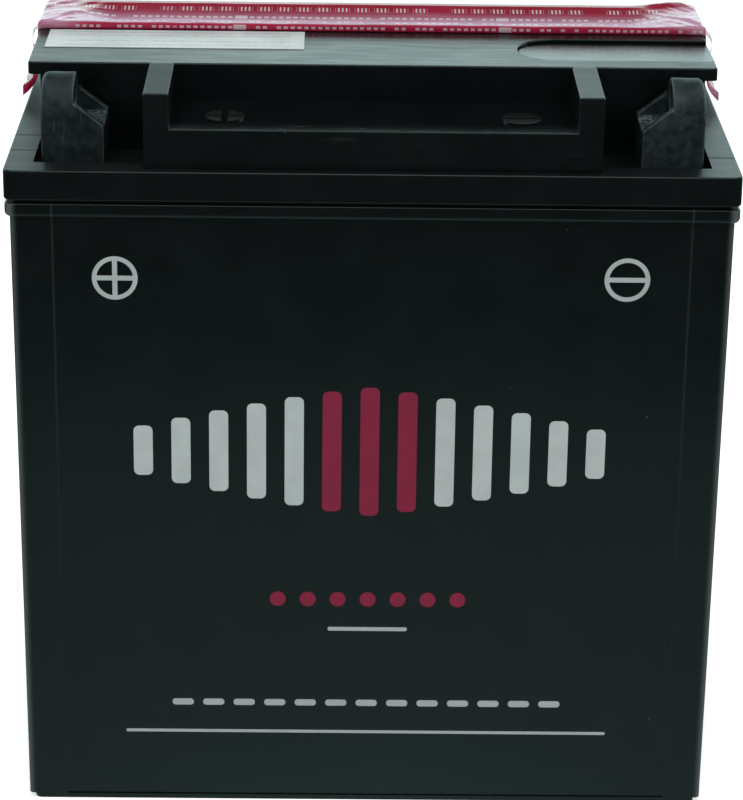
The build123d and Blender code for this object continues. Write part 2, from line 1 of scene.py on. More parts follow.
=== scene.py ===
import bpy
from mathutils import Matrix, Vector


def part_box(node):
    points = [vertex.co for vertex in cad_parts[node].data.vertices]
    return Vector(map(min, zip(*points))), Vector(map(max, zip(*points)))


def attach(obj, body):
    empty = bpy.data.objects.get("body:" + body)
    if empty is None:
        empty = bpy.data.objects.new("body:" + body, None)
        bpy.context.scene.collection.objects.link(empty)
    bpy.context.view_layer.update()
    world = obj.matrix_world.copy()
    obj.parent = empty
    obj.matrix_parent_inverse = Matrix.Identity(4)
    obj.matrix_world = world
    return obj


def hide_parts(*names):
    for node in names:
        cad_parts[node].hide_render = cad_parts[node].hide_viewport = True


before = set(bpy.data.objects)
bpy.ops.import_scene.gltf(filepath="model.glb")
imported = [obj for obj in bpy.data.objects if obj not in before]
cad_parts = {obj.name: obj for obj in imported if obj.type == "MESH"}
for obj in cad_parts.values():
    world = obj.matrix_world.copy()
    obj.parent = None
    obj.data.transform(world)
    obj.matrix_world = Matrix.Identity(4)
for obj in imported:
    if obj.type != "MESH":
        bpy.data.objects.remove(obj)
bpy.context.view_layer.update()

import math

import bmesh
import bpy
from mathutils import Matrix, Vector, noise
from mathutils.bvhtree import BVHTree

MM = 0.001
WHITE = (1.0, 1.0, 1.0)

# The camera, in millimetres and degrees
CAMERA_PLACE = (-7.01, -636.82, 324.11)
CAMERA_PITCH = 21.14
CAMERA_YAW = 0.70
CAMERA_ROLL = 0.78
CAMERA_LENS = 148.4

# Places on the model, in millimetres
DECK_TOP = 159.2
DECK_FRONT = -17.2
LIP_TOP = 160.2
LIP_FRONT = 11.0
TROUGH_FRONT = 13.0
TROUGH_REAR = 30.2
LEDGE_TOP = 151.8
SHELF = 149.8
POCKET_TO_SHELF = 9.3

# How rough the cover's plastic is, and how far its zones differ
DECK_ROUGH = 0.30
DECK_END_ROUGHER = 0.045
RIB_ROUGH = 0.42
RIB_LEFT_ROUGHER = 0.10
RIM_SMOOTHER = (0.045, 0.085)
SEAM_ROUGHER = 0.6
LEDGE_ROUGH = 0.08

# The fine parting lines across the rim's top: the side, and the place in millimetres
RIM_SEAMS = ((-1, -17.6), (-1, -28.6), (1, -29.4))

# The case in millimetres: its front panel's edge from the middle, and its upright corners, whose
# place is given below the flange. Both are painted a little paler, as a painted highlight.
PANEL_EDGE = 65.25
CASE_TOP = 133.55
CASE_CORNER = 73.95
CASE_SLOPE = math.tan(math.radians(0.25))

# The voxel size of the terminals' worn copies, in millimetres
CASTING_VOXEL = 0.26

# The prints: how proud the ink stands, and the polarity marks, in millimetres
INK_PROUD = 0.03
MARK_RADIUS = 4.7
MARK_INNER = 3.75
MARK_HALF_BAR = 0.52
MARKS = (("plus_mark", -52.7, 120.4), ("minus_mark", 52.45, 121.0))

# The ornament on the case's front: upright bars, tallest in the middle, over a row of dots and
# some rules. A rule is its x, z, width, height and corner radius.
BAR_COUNT = 6
BAR_PITCH = 7.9
BAR_WIDTH = 4.0
BAR_TALL = 29.0
BAR_FALL = 1.9
BAR_CORNER = 1.2
BAR_Z = 82.3
DOT_COUNT = 3
DOT_PITCH = 6.4
DOT_RADIUS = 1.7
DOT_Z = 48.3
DASH_COUNT = 6
DASH_PITCH = 6.6
SHORT_RULE = (0, 41.3, 17.0, 0.9, 0.4)
LONG_RULE = (0, 16.6, 104.0, 0.7, 0.3)
DASH_RULE = (23.6, 4.6, 1.5, 0.7)

# The light: how bright the room is to diffuse surfaces, and what gloss shows of room and floor
WORLD_LIGHT = 0.72
GLOSS_TINT = (0.76, 1.0, 0.99)
BAND_GLOSS = 1.9
DIM_GLOSS = 0.10
BAND_TOP = (0.33, 0.48)
BAND_SIDE = (-0.1, 0.4)
FLOOR_RADIUS = 1.6
FLOOR_GLOW = 0.55
FLOOR_GLOSS = 0.29
FLOOR_FOOT_GLOSS = 0.22
FLOOR_FOOT = 0.055
FLOOR_FOOT_START = 0.0435
FLOOR_EDGE = (0.262, 0.345)
FLOOR_FAR_SHARE = 0.2

# The film, in millimetres: its cut size, and how it lies
FILM_LENGTH = 175.6
FILM_WIDTH = 23.6
FILM_THICK = 0.07
FILM_GRID = (520, 90)
FILM_PROUD = 0.62
FILM_REST = 0.16
FILM_CREST = 0.46
FILM_CREST_WIDTH = 0.9
FILM_HEM = 1.55
FILM_SAG = 1.6
FILM_SKEW = 0.35
FILM_DIP = 0.462
FILM_SAG_END = 65.6
FILM_SAG_FADE = 9.0
FILM_LOOSE_X = 56.0
FILM_LOOSE_RUN = 12.0
FILM_PUFF = 0.9
FILM_PUFF_PLACE = (66.5, 33.5)
FILM_PUFF_SIZE = (4.5, 3.5)
FILM_BEND_X = 71.4
FILM_BEND_RADIUS = 0.9
FILM_LEAN = math.radians(87.0)
FILM_FLARE_START = 9.0

# How the film ripples: its stretch along X, the ripples' size, their depth, what spare film
# adds to the depth, and the noise's seed
FILM_RIPPLES = ((5.0, 2.6, 0.035, 0.05, 1), (1.8, 1.3, 0.012, 0.04, 2))
FILM_FAN = 0.34
FILM_FLARE = (0.10, 0.004, 0.03)

# The plastic's colours, the painted highlights on the case's panel edge and corners, and gloss tint
PLASTIC_BLACK = ((0.0018, 0.0024, 0.0025), (0.0030, 0.0038, 0.0040))
PLASTIC_SCRATCH = (0.10, 0.13, 0.13)
PLASTIC_DUST = (0.20, 0.24, 0.24)
PLASTIC_PANEL_EDGE_HIGHLIGHT = (0.017, 0.021, 0.021)
PLASTIC_CORNER_HIGHLIGHT = (0.078, 0.094, 0.095)
PLASTIC_TINT = (0.80, 1.0, 0.99)

# The lead's colours: each terminal's dark and light oxide, what is rubbed or gritty, and its
# edges' paler colour, a painted highlight that is partly edge wear
LEAD_LEFT = ((0.008, 0.014, 0.015), (0.024, 0.034, 0.036))
LEAD_RIGHT = ((0.010, 0.017, 0.018), (0.034, 0.046, 0.049))
LEAD_RUBBED = (0.09, 0.12, 0.125)
LEAD_GRIT = (0.20, 0.25, 0.26)
LEAD_EDGE_HIGHLIGHT_AND_WEAR = (0.10, 0.13, 0.135)
LEAD_TINT = (0.80, 1.0, 1.0)

# The label's colours, and each ink's colour with that of its pinholes
LABEL_STOCK = ((0.45, 0.52, 0.51), (0.54, 0.61, 0.60))
LABEL_FLECK = (0.36, 0.42, 0.41)
LABEL_RULE = (0.22, 0.26, 0.26)
INK_GREY = ((0.40, 0.47, 0.46), (0.10, 0.12, 0.12))
INK_PALE = ((0.47, 0.54, 0.53), (0.12, 0.14, 0.14))
INK_CRIMSON = ((0.245, 0.0075, 0.042), (0.05, 0.004, 0.01))

# The film's colours, with a painted reflection over the trough and a painted sheen on its ends
FILM_CRIMSON = ((0.215, 0.005, 0.020), (0.255, 0.008, 0.030))
FILM_FOLD = (0.40, 0.016, 0.060)
FILM_PAINTED_REFLECTION = (0.47, 0.28, 0.42)
FILM_PAINTED_SHEEN = (0.52, 0.30, 0.42)
FILM_PRINT = (0.60, 0.56, 0.60)
FILM_EDGE = (0.56, 0.62, 0.60)
CLEAR_HAZE = ((0.62, 0.68, 0.66), (0.80, 0.84, 0.82))

# The film's printed rows, in millimetres: middle, pitch, length, height, and the share missing
TALL_GROUPS = (18.6, 4.3, 3.3, 2.3, 0.10)
TALL_STROKES = (18.6, 0.86, 0.5, 2.3, 0.0)
DASH_ROWS = (
    (0.75, 1.5, 1.0, 0.68, 0.14), (14.0, 1.6, 1.1, 1.1, 0.13), (11.2, 1.6, 1.1, 0.8, 0.30),
    (14.0, 57.5, 2.8, 1.9, 0.0), (0.75, 57.5, 2.8, 1.25, 0.0),
)
PRINT_BLUR = 0.12
PRINT_SEED = 40.5

# One clear loop's middle line in millimetres, at the right end, and its half-width
LOOP_LINE = (
    (71.3, 11.5, 160.2), (72.3, 10.0, 160.0), (72.9, 7.4, 159.6), (73.0, 4.6, 158.9),
    (72.7, 2.9, 158.0), (72.5, 3.4, 157.0), (72.4, 5.4, 156.2), (72.4, 8.6, 155.4),
)
LOOP_HALF = 0.55
LOOP_LEAN = 0.25
LOOP_THICK = 0.05
LOOP_STEPS = 8

# The label's ruled lines, in millimetres
LABEL_MIDDLE = -42.0
LABEL_LINES = (7.6, 5.0, 0.4, -2.9)
LABEL_HALF_LINE = 24.4


class Nodes:
    """A node tree, with short calls that add to it."""

    def __init__(self, tree):
        self.tree = tree

    def add(self, kind, **settings):
        """A new node of a kind."""
        node = self.tree.nodes.new(kind)
        for key, value in settings.items():
            setattr(node, key, value)
        return node

    def join(self, socket, value):
        """Puts a number, a colour or another node's output into a socket."""
        if isinstance(value, bpy.types.NodeSocket):
            self.tree.links.new(value, socket)
        elif isinstance(value, tuple) and socket.type == "RGBA":
            socket.default_value = (*value, 1.0)
        else:
            socket.default_value = value

    def made(self, kind, output, inputs, **settings):
        """The output of a new node whose inputs are given by name or number."""
        node = self.add(kind, **settings)
        for key, value in inputs.items():
            self.join(node.inputs[key], value)
        return node.outputs[output]

    def calc(self, operation, a, b=0.0):
        """A Math node's result."""
        return self.made("ShaderNodeMath", 0, {0: a, 1: b}, operation=operation)

    def times(self, *factors):
        """The product of several numbers."""
        product = factors[0]
        for factor in factors[1:]:
            product = self.calc("MULTIPLY", product, factor)
        return product

    def split(self, vector):
        """A vector's X, Y and Z."""
        node = self.add("ShaderNodeSeparateXYZ")
        self.join(node.inputs[0], vector)
        return tuple(node.outputs)

    def step(self, value, low, high, out_low=0.0, out_high=1.0):
        """A smooth step of value between low and high."""
        ends = {"From Min": low, "From Max": high, "To Min": out_low, "To Max": out_high}
        return self.made(
            "ShaderNodeMapRange", "Result", {"Value": value, **ends},
            interpolation_type="SMOOTHSTEP",
        )

    def step_mm(self, value, low, high, out_low=0.0, out_high=1.0):
        """A smooth step of a place between low and high, in millimetres."""
        return self.step(value, low * MM, high * MM, out_low, out_high)

    def near(self, value, middle, far, full):
        """1 where value is within full of the middle, falling to 0 at far."""
        off = self.calc("ABSOLUTE", self.calc("SUBTRACT", value, middle))
        return self.step(off, far, full)

    def near_mm(self, value, middle, far, full):
        """The same, with the middle and both widths in millimetres."""
        return self.near(value, middle * MM, far * MM, full * MM)

    def blend(self, factor, a, b):
        """Colour a where factor is 0 and colour b where it is 1."""
        return self.made("ShaderNodeMix", 2, {0: factor, 6: a, 7: b}, data_type="RGBA")

    def mix(self, factor, a, b):
        """Number a where factor is 0 and number b where it is 1."""
        return self.made("ShaderNodeMix", 0, {0: factor, 2: a, 3: b}, data_type="FLOAT")

    def glow(self, colour, strength):
        """A shader that gives off light."""
        return self.made("ShaderNodeEmission", 0, {"Color": colour, "Strength": strength})


class Surface(Nodes):
    """A node material. Lengths in its textures are in metres."""

    def __init__(self, name):
        self.material = bpy.data.materials.new(name)
        self.material.use_nodes = True
        super().__init__(self.material.node_tree)
        self.shader = self.tree.nodes["Principled BSDF"]
        self.place = self.add("ShaderNodeTexCoord").outputs["Object"]

    def set(self, **values):
        """Sets the shader's sockets, named with _ for each space."""
        for key, value in values.items():
            self.join(self.shader.inputs[key.replace("_", " ")], value)

    def stretched(self, x=1.0, y=1.0, z=1.0):
        """The place on the object, stretched along the axes."""
        return self.made(
            "ShaderNodeVectorMath", 0, {0: self.place, 1: (x, y, z)}, operation="MULTIPLY"
        )

    def normal(self, kind="Normal"):
        """The X, Y and Z of the surface's normal."""
        return self.split(self.add("ShaderNodeNewGeometry").outputs[kind])

    def grain(self, size, detail=3.0, roughness=0.55, place=None):
        """Noise from 0 to 1 with features about as large as size."""
        inputs = {"Scale": 1.0 / size, "Detail": detail, "Roughness": roughness}
        return self.made("ShaderNodeTexNoise", "Fac", {"Vector": place or self.place, **inputs})

    def specks(self, spacing, size, share):
        """Small round dots at random places: 1 in a dot, 0 elsewhere."""
        node = self.add("ShaderNodeTexVoronoi")
        self.join(node.inputs["Vector"], self.place)
        self.join(node.inputs["Scale"], 1.0 / spacing)
        dot = self.step(node.outputs["Distance"], size / spacing, 0.6 * size / spacing)
        red = self.made("ShaderNodeSeparateColor", 0, {0: node.outputs["Color"]})
        return self.times(dot, self.step(red, share, share * 0.98))

    def bump(self, height, distance, strength=1.0, below=None):
        """A bump on the shader's normal, over the bump below it."""
        inputs = {"Height": height, "Distance": distance, "Strength": strength}
        if below is not None:
            inputs["Normal"] = below
        normal = self.made("ShaderNodeBump", 0, inputs)
        self.join(self.shader.inputs["Normal"], normal)
        return normal


def shaded(colour, share):
    """A colour, darkened to a share of itself."""
    return tuple(share * channel for channel in colour)


def plastic(name, scuffs, rough, recolour=None, regloss=None):
    """Moulded black plastic with fine grain, soft stains, hairline scratches and dust. One piece's
    own colouring, such as the case's painted highlights, comes from recolour, its roughness from
    regloss."""
    surface = Surface(name)
    stain = surface.grain(11 * MM, detail=4.0, roughness=0.6)
    fine = surface.grain(0.5 * MM, detail=2.0)
    streak = surface.grain(1.1 * MM, detail=3.0, roughness=0.6, place=surface.stretched(x=0.09))
    scratch = surface.step(streak, 0.68, 0.74)
    dust = surface.specks(spacing=3.6 * MM, size=0.15 * MM, share=0.07)
    tone = surface.step(stain, 0.3, 0.75)
    colour = surface.blend(tone, *PLASTIC_BLACK)
    colour = surface.blend(surface.times(scratch, 0.06 * scuffs), colour, PLASTIC_SCRATCH)
    colour = surface.blend(surface.times(dust, 0.6), colour, PLASTIC_DUST)
    if recolour:
        colour = recolour(surface, colour)
    gloss = surface.step(stain, 0.3, 0.8, rough - 0.02, rough + 0.04)
    if regloss:
        gloss = regloss(surface, gloss, streak)
    surface.set(
        Base_Color=colour, Roughness=gloss, Specular_IOR_Level=0.55, Specular_Tint=PLASTIC_TINT,
    )
    height = surface.calc("ADD", stain, surface.times(fine, 0.1))
    low = surface.bump(height, 0.2 * MM, strength=0.2)
    surface.bump(scratch, 0.02 * MM, strength=0.4 * scuffs, below=low)
    return surface.material


def painted_case_highlights(surface, colour):
    """The case's colour, with a painted highlight along the panel's edge and its upright corners.
    """
    x, _, z = surface.split(surface.place)
    beside = surface.calc("ABSOLUTE", x)
    # A thin paler line along the panel's edge, stronger higher up: a painted highlight.
    line = surface.times(
        surface.near_mm(beside, PANEL_EDGE, 0.34, 0.14), surface.step_mm(z, 50, 115, 0.28, 0.85)
    )
    colour = surface.blend(line, colour, PLASTIC_PANEL_EDGE_HIGHLIGHT)
    # The upright corners, paler on the front faces: a painted highlight.
    drop = surface.calc("SUBTRACT", CASE_TOP * MM, z)
    corner = surface.calc("ADD", beside, surface.times(drop, CASE_SLOPE))
    front = surface.step(surface.calc("ABSOLUTE", surface.normal()[1]), 0.3, 0.8)
    worn = surface.step_mm(corner, CASE_CORNER - 2.1, CASE_CORNER - 0.1)
    worn = surface.times(surface.calc("POWER", worn, 2.0), front)
    return surface.blend(worn, colour, PLASTIC_CORNER_HIGHLIGHT)


def cover_gloss(surface, gloss, streak):
    """The cover's roughness: a satin deck, duller tops on the ribs and the rim with fine seams
    across the rim, and a glossy ledge."""
    x, y, z = surface.split(surface.place)
    upward = surface.step(surface.normal("True Normal")[2], 0.6, 0.8)
    low = surface.step_mm(z, 145, 144)
    dull = surface.step(streak, 0.25, 0.75, RIB_ROUGH - 0.02, RIB_ROUGH + 0.03)
    dull = surface.calc("ADD", dull, surface.step_mm(x, -20, -45, 0.0, RIB_LEFT_ROUGHER))
    rim = surface.times(low, surface.step_mm(x, 0, -60, *RIM_SMOOTHER))
    dull = surface.calc("SUBTRACT", dull, rim)
    for side, seam_y in RIM_SEAMS:
        seam = surface.times(
            surface.near_mm(y, seam_y, 0.30, 0.16), low,
            surface.step_mm(surface.times(x, side), 66, 67),
        )
        dull = surface.calc("ADD", dull, surface.times(seam, SEAM_ROUGHER))
    satin = surface.step(streak, 0.25, 0.75, DECK_ROUGH - 0.04, DECK_ROUGH + 0.05)
    ends = surface.step_mm(surface.calc("ABSOLUTE", x), 20, 60, 0.0, DECK_END_ROUGHER)
    satin = surface.calc("ADD", satin, ends)
    deck = surface.times(
        surface.step_mm(z, DECK_TOP - 0.35, DECK_TOP - 0.1),
        surface.step_mm(y, DECK_FRONT - 1.0, DECK_FRONT + 0.4),
    )
    ledge = surface.made(
        "ShaderNodeMath", 0, {0: z, 1: LEDGE_TOP * MM, 2: 0.2 * MM}, operation="COMPARE"
    )
    gloss = surface.mix(upward, gloss, dull)
    gloss = surface.mix(deck, gloss, satin)
    return surface.mix(surface.times(upward, ledge), gloss, LEDGE_ROUGH)


def cast_lead(name, dark, light, patches):
    """Dull cast lead: mottled grey oxide, a painted highlight on its edges that is partly edge
    wear, and gritty on its shelf.
    """
    surface = Surface(name)
    cloud = surface.grain(2.6 * MM, detail=5.0, roughness=0.65)
    pit = surface.grain(0.35 * MM, detail=3.0, roughness=0.6)
    patch = surface.step(surface.grain(4.5 * MM, detail=3.0, roughness=0.6), 0.50, 0.62)
    grit = surface.step(surface.grain(0.9 * MM, detail=3.0, roughness=0.7), 0.45, 0.56)
    streak = surface.grain(0.7 * MM, detail=2.0, roughness=0.5, place=surface.stretched(z=0.12))
    rubbed = surface.step(streak, 0.66, 0.74)
    colour = surface.blend(surface.step(cloud, 0.32, 0.72), dark, light)
    colour = surface.blend(surface.times(rubbed, 0.2), colour, LEAD_RUBBED)
    colour = surface.blend(surface.times(patch, patches), colour, shaded(dark, 0.45))
    flat = surface.times(
        surface.step(surface.normal()[2], 0.75, 0.95),
        surface.step_mm(surface.split(surface.place)[2], SHELF + 1.5, SHELF + 0.8),
    )
    colour = surface.blend(surface.times(flat, grit, patches), colour, LEAD_GRIT)
    # The edges are paler: a painted highlight, partly edge wear.
    point = surface.add("ShaderNodeNewGeometry").outputs["Pointiness"]
    edge = surface.step(point, 0.515, 0.56)
    worn = surface.times(edge, surface.step(cloud, 0.30, 0.55, 0.25, 0.75))
    colour = surface.blend(worn, colour, LEAD_EDGE_HIGHLIGHT_AND_WEAR)
    surface.set(
        Base_Color=colour, Metallic=0.2, Specular_IOR_Level=0.40,
        Roughness=surface.step(cloud, 0.3, 0.75, 0.48, 0.64), Specular_Tint=LEAD_TINT,
    )
    low = surface.bump(cloud, 0.35 * MM, strength=0.35)
    surface.bump(pit, 0.12 * MM, strength=0.35, below=low)
    return surface.material


def film_material():
    """Glossy crimson film, with a painted reflection over the trough and a painted sheen on its
    creased ends and its right flap, with rows of plain dots and dashes."""
    surface = Surface("crimson_film")
    cut = surface.add("ShaderNodeAttribute", attribute_name="cut").outputs["Vector"]
    along, across, _ = surface.split(cut)
    ends = surface.calc("ABSOLUTE", along)
    top = surface.step_mm(ends, 72.8, 72.0)
    crease = surface.grain(3.2 * MM, detail=4.0, roughness=0.6, place=surface.stretched(x=0.35))
    cloud = surface.grain(14 * MM, detail=2.0)
    colour = surface.blend(surface.step(cloud, 0.3, 0.7), *FILM_CRIMSON)
    # Paler pink over the trough: a painted reflection of the room.
    painted_reflection = surface.times(
        surface.step_mm(across, 19.0, 10.0), surface.step_mm(across, 0.9, 2.2),
        surface.step_mm(ends, 73.5, 71.5), 0.76,
    )
    colour = surface.blend(painted_reflection, colour, FILM_PAINTED_REFLECTION)
    colour = surface.blend(surface.step_mm(across, 1.7, 1.3), colour, FILM_FOLD)
    # Paler pink on the creased ends and over the right flap: a painted sheen.
    pale = surface.times(
        surface.step_mm(ends, 60, 70), surface.step(crease, 0.34, 0.58), top
    )
    right_flap = surface.step_mm(along, 72.0, 72.8)
    flap_sheen = surface.times(right_flap, surface.step(crease, 0.2, 0.5, 0.6, 1.0))
    pale = surface.calc("MAXIMUM", pale, flap_sheen)
    colour = surface.blend(surface.times(pale, 0.75), colour, FILM_PAINTED_SHEEN)
    white = surface.times(
        print_row(surface, along, across, *TALL_GROUPS),
        print_row(surface, along, across, *TALL_STROKES),
    )
    for row in DASH_ROWS:
        white = surface.calc("MAXIMUM", white, print_row(surface, along, across, *row))
    colour = surface.blend(surface.times(white, top, 0.66), colour, FILM_PRINT)
    rear = surface.step_mm(across, 22.9, 23.2)
    colour = surface.blend(surface.times(rear, 0.85), colour, FILM_EDGE)
    surface.set(
        Base_Color=colour, Specular_IOR_Level=0.3,
        Roughness=surface.step(crease, 0.3, 0.7, 0.10, 0.22),
    )
    surface.bump(crease, 0.10 * MM, strength=0.3)
    return surface.material


def print_row(surface, along, across, middle, pitch, length, height, missing):
    """A row of dashes along the film, some of them missing: 1 on a dash, 0 elsewhere. Lengths
    are in millimetres."""
    count = surface.times(along, 1 / (pitch * MM))
    half = length / pitch / 2
    dash = surface.near(surface.calc("FRACT", count), 0.5, half, half - PRINT_BLUR / pitch)
    number = surface.calc("ADD", surface.calc("FLOOR", count), PRINT_SEED + middle)
    chance = surface.made(
        "ShaderNodeTexWhiteNoise", "Value", {"W": number}, noise_dimensions="1D"
    )
    kept = surface.step(chance, missing, missing + 0.01)
    return surface.times(
        dash, kept, surface.near_mm(across, middle, height / 2, height / 2 - PRINT_BLUR)
    )


def clear_film():
    """The film's clear margin."""
    surface = Surface("clear_film")
    haze = surface.grain(1.5 * MM, detail=3.0)
    surface.set(
        Base_Color=surface.blend(haze, *CLEAR_HAZE),
        Roughness=0.12, Alpha=surface.step(haze, 0.3, 0.7, 0.30, 0.55),
    )
    return surface.material


def label_paper():
    """Silvery white label stock with four faint ruled lines."""
    surface = Surface("label_stock")
    fibre = surface.grain(0.6 * MM, detail=4.0, roughness=0.6)
    cloud = surface.step(surface.grain(9 * MM, detail=3.0), 0.3, 0.7)
    colour = surface.blend(cloud, *LABEL_STOCK)
    flecks = surface.times(surface.step(fibre, 0.55, 0.75), 0.12)
    colour = surface.blend(flecks, colour, LABEL_FLECK)
    x, y, _ = surface.split(surface.place)
    within = surface.times(
        surface.near_mm(x, LABEL_MIDDLE, LABEL_HALF_LINE + 0.2, LABEL_HALF_LINE),
        surface.step(fibre, 0.40, 0.52),
    )
    for line_y in LABEL_LINES:
        line = surface.times(surface.near_mm(y, line_y, 0.60, 0.45), within, 0.45)
        colour = surface.blend(line, colour, LABEL_RULE)
    surface.set(Base_Color=colour, Roughness=0.42, Specular_IOR_Level=0.4)
    surface.bump(fibre, 0.03 * MM, strength=0.3)
    return surface.material


def ink(name, colour, worn):
    """Screen-printed ink, slightly uneven, with pinholes of the worn colour."""
    surface = Surface(name)
    cloud = surface.grain(5 * MM, detail=3.0)
    pin = surface.grain(0.25 * MM, detail=2.0)
    uneven = surface.step(cloud, 0.3, 0.7, 0.0, 0.5)
    printed = surface.blend(uneven, colour, shaded(colour, 0.82))
    holes = surface.times(surface.step(pin, 0.70, 0.78), 0.35)
    printed = surface.blend(holes, printed, worn)
    surface.set(Base_Color=printed, Roughness=0.45, Specular_IOR_Level=0.35)
    surface.bump(pin, 0.02 * MM, strength=0.2)
    return surface.material


def grainy(name, dark, light, size, rough, depth, metal=0.0):
    """A plain mottled material: paste, glass mat, rubber or a porous disc. The size of its
    grain and the depth of its relief are in millimetres."""
    surface = Surface(name)
    cloud = surface.grain(8 * size * MM, detail=4.0, roughness=0.6)
    grit = surface.grain(size * MM, detail=3.0, roughness=0.6)
    tone = surface.calc(
        "ADD", surface.step(cloud, 0.3, 0.7, 0.0, 0.6), surface.step(grit, 0.3, 0.7, 0.0, 0.4)
    )
    surface.set(
        Base_Color=surface.blend(tone, dark, light), Metallic=metal,
        Roughness=surface.step(grit, 0.3, 0.7, rough - 0.08, rough + 0.08),
    )
    surface.bump(grit, depth * MM, strength=0.5)
    return surface.material


def dress(node, material):
    """Gives a CAD node's slots a material."""
    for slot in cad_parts[node].material_slots:
        slot.material = material


def shade(mesh, smooth):
    """Shades a mesh smooth or flat."""
    for polygon in mesh.polygons:
        polygon.use_smooth = smooth


def place_piece(name, mesh, material, body="root", smooth=True):
    """Makes an object of a mesh and has it ride on a body."""
    piece = bpy.data.objects.new(name, mesh)
    bpy.context.scene.collection.objects.link(piece)
    mesh.materials.clear()
    mesh.materials.append(material)
    shade(mesh, smooth)
    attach(piece, body)
    return piece


def applied(piece):
    """Turns a piece's modifiers into its mesh."""
    seen = piece.evaluated_get(bpy.context.evaluated_depsgraph_get())
    mesh = bpy.data.meshes.new_from_object(seen)
    piece.modifiers.clear()
    piece.data = mesh
    return mesh


def thicken(piece, thickness):
    """Gives a sheet its thickness in millimetres, inwards."""
    solid = piece.modifiers.new("solid", "SOLIDIFY")
    solid.thickness = thickness * MM
    solid.offset = -1
    return applied(piece)


def from_bmesh(name, shape):
    """A mesh of a bmesh, which is freed."""
    mesh = bpy.data.meshes.new(name)
    shape.to_mesh(mesh)
    shape.free()
    return mesh


def bump_at(place, size, seed):
    """Smooth noise from about -1 to 1 at a place in millimetres."""
    return noise.noise(Vector(place) / size + Vector((seed, 2.3 * seed, 0.7 * seed)))


def worn_copy(node, name, material, soften, lumps, seed):
    """A CAD node's shape with softened edges and a cast, lumpy skin, which replaces it. The
    skin is rougher on the shelf for the nut."""
    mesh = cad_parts[node].data.copy()
    piece = place_piece(name, mesh, material)
    remesh = piece.modifiers.new("remesh", "REMESH")
    remesh.mode = "VOXEL"
    remesh.voxel_size = CASTING_VOXEL * MM
    smooth = piece.modifiers.new("smooth", "SMOOTH")
    smooth.factor = 0.5
    smooth.iterations = soften
    mesh = applied(piece)
    low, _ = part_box(node)
    shelf = low[2] / MM + POCKET_TO_SHELF
    normals = [vertex.normal.copy() for vertex in mesh.vertices]
    for vertex, normal in zip(mesh.vertices, normals):
        place = vertex.co / MM
        rough = 1.0 + 2.0 * max(0.0, 1.0 - abs(place.z - shelf) / 1.2) * (normal.z > 0.5)
        coarse = lumps * bump_at(place, 3.1, seed)
        fine = 0.45 * lumps * rough * bump_at(place, 0.8, seed + 5)
        vertex.co += normal * (coarse + fine) * MM
    mesh.update()
    shade(mesh, True)
    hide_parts(node)
    return piece


def clamped(value):
    """A value, kept between 0 and 1."""
    return min(1.0, max(0.0, value))


def film_fold(along, across):
    """Y and Z of the front fold, which hangs from the lip's front edge."""
    y = LIP_FRONT - FILM_PROUD - 0.15 * math.sin(math.pi * across / FILM_HEM)
    y += 0.10 * bump_at((along, 0, 0), 7.0, 3)
    return y, LIP_TOP + FILM_PROUD + across - FILM_HEM


def film_top(along, top, side, spare):
    """Y and Z of the film's top, at a distance behind the front edge."""
    reach = abs(along)
    y = LIP_FRONT - FILM_PROUD + top
    crest = math.exp(-((top / FILM_CREST_WIDTH) ** 2))
    z = LIP_TOP + FILM_REST + FILM_CREST * crest
    z += (0.10 + 0.30 * spare) * crest * (1 + bump_at((along, 0, 0), 5.0, 8))
    if TROUGH_FRONT < y < TROUGH_REAR:
        share = (y - TROUGH_FRONT) / (TROUGH_REAR - TROUGH_FRONT)
        dip = (share**FILM_SKEW) * (1 - share) / FILM_DIP
        z -= FILM_SAG * dip * clamped((FILM_SAG_END - reach) / FILM_SAG_FADE)
    loose = min(1.0, top / 2.0)
    for stretch, size, depth, extra, seed in FILM_RIPPLES:
        z += loose * (depth + extra * spare) * bump_at((along / stretch, y, 0), size, seed)
    fan = bump_at((along * 0.8 + side * y * 0.7, y * 0.35, 0), 2.2, 6 + side)
    return y, z + loose * spare * FILM_FAN * (fan + 0.35)


def film_place(along, across):
    """Where a point of the flat film lies, in millimetres. Along runs from end to end in X and
    across from the bottom of the front fold to the rear edge. Its ends have spare film, which
    creases, and hang down as flaps."""
    side = 1.0 if along > 0 else -1.0
    reach = abs(along)
    if across < FILM_HEM:
        y, z = film_fold(along, across)
    else:
        spare = clamped((reach - FILM_LOOSE_X) / FILM_LOOSE_RUN)
        y, z = film_top(along, across - FILM_HEM, side, spare)
    if side > 0:
        off = [
            (place - middle) / size
            for place, middle, size in zip((reach, y), FILM_PUFF_PLACE, FILM_PUFF_SIZE)
        ]
        z += FILM_PUFF * math.exp(-(off[0] ** 2) - (off[1] ** 2))
    down = reach - FILM_BEND_X
    if down <= 0:
        return Vector((along, y, z))
    front = math.exp(-(((y - LIP_FRONT) / 4.0) ** 2))
    angle = min(down / FILM_BEND_RADIUS, FILM_LEAN)
    straight = max(0.0, down - FILM_BEND_RADIUS * FILM_LEAN)
    flare = max(0.0, straight - FILM_FLARE_START)
    out = FILM_BEND_RADIUS * math.sin(angle) + straight * math.cos(FILM_LEAN)
    fall = FILM_BEND_RADIUS * (1 - math.cos(angle)) + straight * math.sin(FILM_LEAN)
    out += FILM_FLARE[0] * flare**2 - FILM_FLARE[1] * flare**3
    fall -= FILM_FLARE[2] * flare**2
    out += 0.03 * straight * bump_at((side * 9, y, down * 0.4), 3.4, 11)
    y += front * 0.08 * straight * bump_at((side * 5, y, down), 5.0, 12)
    return Vector((side * (FILM_BEND_X + out), y, z - fall))


